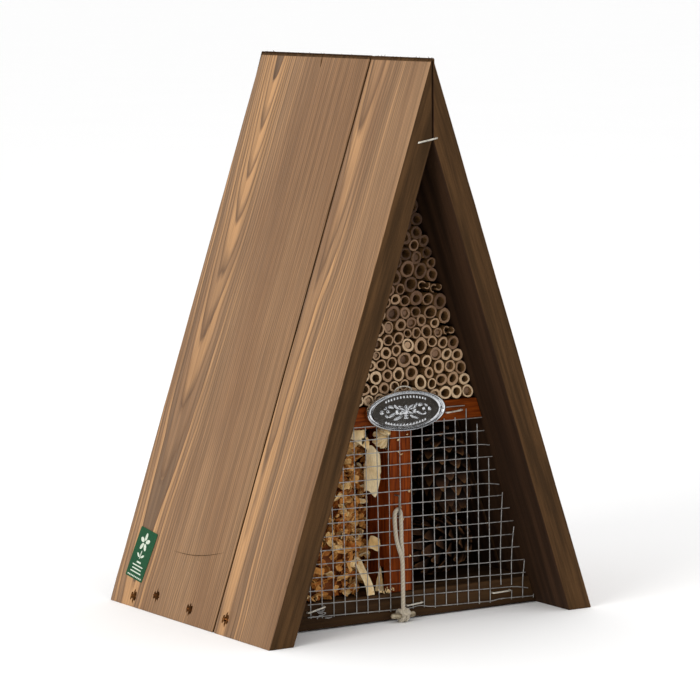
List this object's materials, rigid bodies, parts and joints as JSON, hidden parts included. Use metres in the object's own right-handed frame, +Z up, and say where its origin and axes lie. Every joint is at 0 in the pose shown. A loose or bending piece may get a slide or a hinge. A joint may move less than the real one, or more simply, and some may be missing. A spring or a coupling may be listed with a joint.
{
  "type": "insect hotel",
  "caption": "Steep gabled wooden insect hotel with reed tubes, shavings and pine cones behind welded wire, and a hanging cord loop.",
  "frame": {"origin": "On the ground, in the middle of the width and of the depth", "axes": "+Z up to the ridge, +X across to the right as seen from the front, +Y from the open gable to the back panel"},
  "size_m": [0.178, 0.148, 0.26],
  "materials": {
    "roof_wood": "brown oiled softwood, strong lengthwise grain, dark brown on the ends and inside",
    "dark_wood": "dark brown stained softwood",
    "stained_wood": "orange-brown stained board",
    "back_wood": "dark brown stained board",
    "steel": "bright staple and nail wire",
    "rusty_steel": "rusted, sunk staple wire",
    "galvanised_wire": "dull galvanised welded wire",
    "chrome_plate": "polished pressed plate",
    "label_paper": "printed green sticker",
    "reed_cane": "dry cut reed, pale rims",
    "shavings": "curly softwood shavings",
    "cone_scales": "dry pine cone scales with pale tips",
    "cotton_cord": "undyed cotton cord",
    "toggle_wood": "weathered round stick"
  },
  "bodies": {
    "hotel": {"roof_plank_left_front": "roof_wood", "roof_plank_left_back": "roof_wood", "roof_plank_right_front": "roof_wood", "roof_plank_right_back": "roof_wood", "foot_staple_left_1": "rusty_steel", "foot_staple_left_2": "rusty_steel", "foot_staple_left_3": "rusty_steel", "foot_staple_left_4": "rusty_steel", "foot_staple_right_1": "rusty_steel", "foot_staple_right_2": "rusty_steel", "foot_staple_right_3": "rusty_steel", "foot_staple_right_4": "rusty_steel", "base_board": "dark_wood", "divider_board": "stained_wood", "shelf_board": "stained_wood", "back_panel": "back_wood", "back_nail_1": "steel", "back_nail_2": "steel", "back_nail_3": "steel", "back_nail_4": "steel", "back_nail_5": "steel", "ridge_staple_front": "steel", "ridge_staple_back": "steel", "wire_mesh": "galvanised_wire", "mesh_staple_left": "steel", "mesh_staple_middle": "steel", "mesh_staple_right": "steel", "mesh_staple_shelf": "steel", "mesh_staple_divider": "steel", "oval_plaque": "chrome_plate", "plaque_loop": "chrome_plate", "green_label": "label_paper", "reed_row_01": "reed_cane", "reed_row_02": "reed_cane", "reed_row_03": "reed_cane", "reed_row_04": "reed_cane", "reed_row_05": "reed_cane", "reed_row_06": "reed_cane", "reed_row_07": "reed_cane", "reed_row_08": "reed_cane", "reed_row_09": "reed_cane", "reed_row_10": "reed_cane", "reed_row_11": "reed_cane", "reed_row_12": "reed_cane", "reed_row_13": "reed_cane", "reed_row_14": "reed_cane", "reed_row_15": "reed_cane", "reed_row_16": "reed_cane", "reed_row_17": "reed_cane", "wood_shavings": "shavings", "pine_cone_1": "cone_scales", "pine_cone_2": "cone_scales", "pine_cone_3": "cone_scales", "pine_cone_4": "cone_scales"},
    "hanging_cord": {"cord_loop": "cotton_cord", "cord_knot": "cotton_cord", "toggle_stick": "toggle_wood"}
  },
  "joints": [
    {"name": "cord_loop_swing", "type": "hinge", "parent": "hotel", "child": "hanging_cord", "pos_m": [-0.0046, -0.04975, 0.0501], "axis": [0, 1, 0], "range_deg": [-65, 65]}
  ]
}
